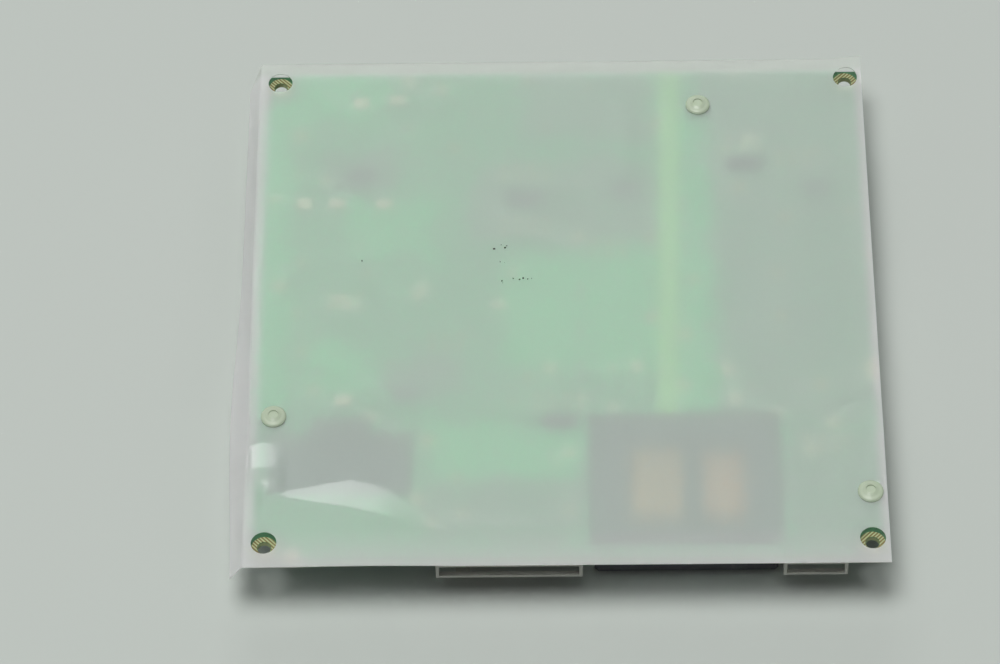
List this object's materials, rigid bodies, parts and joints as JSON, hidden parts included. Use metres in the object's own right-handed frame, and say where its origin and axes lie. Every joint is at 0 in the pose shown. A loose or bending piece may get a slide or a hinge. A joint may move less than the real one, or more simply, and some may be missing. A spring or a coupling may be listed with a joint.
{
  "type": "power supply board",
  "caption": "Slim switched-mode power supply board, solder side up under a milky insulation sheet, with headers, sunk transformer and heat sinks below.",
  "frame": {"origin": "midway between the four mounting holes, on the solder face of the board", "axes": "+Z out of the solder side, +Y towards the back edge, headers open towards -Y, +X to the right"},
  "size_m": [0.1792, 0.1753, 0.0215],
  "materials": {
    "milky_film": "milky translucent plastic film, slightly glossy",
    "natural_nylon": "undyed translucent nylon",
    "green_board": "green solder mask over glass epoxy, bare along the isolation strip",
    "gold_pad": "plated ring pad with solder stripes",
    "solder": "bright solder",
    "tinned_lead": "tinned wire",
    "ferrite": "dense dark ferrite",
    "black_phenolic": "moulded phenolic",
    "taped_copper": "enamelled wire under clear tape",
    "bright_copper": "enamelled copper wire",
    "dark_sleeve": "shrunk plastic sleeve",
    "dark_resin": "dipped resin",
    "plain_aluminium": "extruded, unfinished",
    "black_epoxy": "moulded epoxy with tinned leads",
    "zinc_steel": "zinc plated",
    "white_nylon": "moulded nylon",
    "yellow_tape": "polyester tape over wire",
    "grey_box": "moulded box filled with resin",
    "red_box": "moulded box filled with resin",
    "blue_resin": "dipped resin on tinned leads",
    "resistor_lacquer": "lacquered film resistor",
    "pale_ceramic": "ceramic chip with plated ends"
  },
  "bodies": {
    "root": {"bridge_rectifier": "black_epoxy", "bulk_capacitor": "dark_sleeve", "bulk_capacitor_leads": "tinned_lead", "bus_capacitor": "red_box", "circuit_board": "green_board", "control_capacitors": "dark_sleeve", "control_chips": "black_epoxy", "device_clamps": "zinc_steel", "fuse": "black_epoxy", "half_bridge_switches": "black_epoxy", "heat_sink_screws": "zinc_steel", "inrush_thermistor": "dark_resin", "insulation_sheet": "milky_film", "jumper_wires": "tinned_lead", "large_chip_capacitors": "pale_ceramic", "line_capacitor_1": "grey_box", "line_capacitor_2": "grey_box", "line_choke_bases": "black_phenolic", "line_choke_cores": "ferrite", "line_choke_windings": "bright_copper", "mains_header_housing": "white_nylon", "mains_header_pins": "tinned_lead", "mounting_pads": "gold_pad", "narrow_header_housing": "white_nylon", "narrow_header_pins": "tinned_lead", "noise_capacitors": "blue_resin", "optocouplers": "black_epoxy", "output_capacitors": "dark_sleeve", "output_chokes": "dark_sleeve", "output_rectifiers": "black_epoxy", "power_factor_choke_bobbin": "black_phenolic", "power_factor_choke_core_lower": "ferrite", "power_factor_choke_core_upper": "ferrite", "power_factor_choke_winding": "taped_copper", "power_factor_diode": "black_epoxy", "power_factor_switch": "black_epoxy", "power_resistors": "resistor_lacquer", "primary_heat_sink": "plain_aluminium", "primary_winding": "taped_copper", "push_rivet_grommets": "natural_nylon", "push_rivet_pins": "natural_nylon", "resonant_capacitor": "grey_box", "secondary_heat_sink": "plain_aluminium", "secondary_winding": "bright_copper", "small_chips": "pale_ceramic", "solder_joints": "solder", "standby_capacitors": "dark_sleeve", "standby_transformer_bobbin": "black_phenolic", "standby_transformer_core_lower": "ferrite", "standby_transformer_core_upper": "ferrite", "standby_transformer_winding": "yellow_tape", "surface_diodes": "black_epoxy", "transformer_bobbin": "black_phenolic", "transformer_core_left": "ferrite", "transformer_core_right": "ferrite", "transformer_pins": "tinned_lead", "varistor": "blue_resin", "wide_header_housing": "white_nylon", "wide_header_pins": "tinned_lead"}
  },
  "joints": []
}
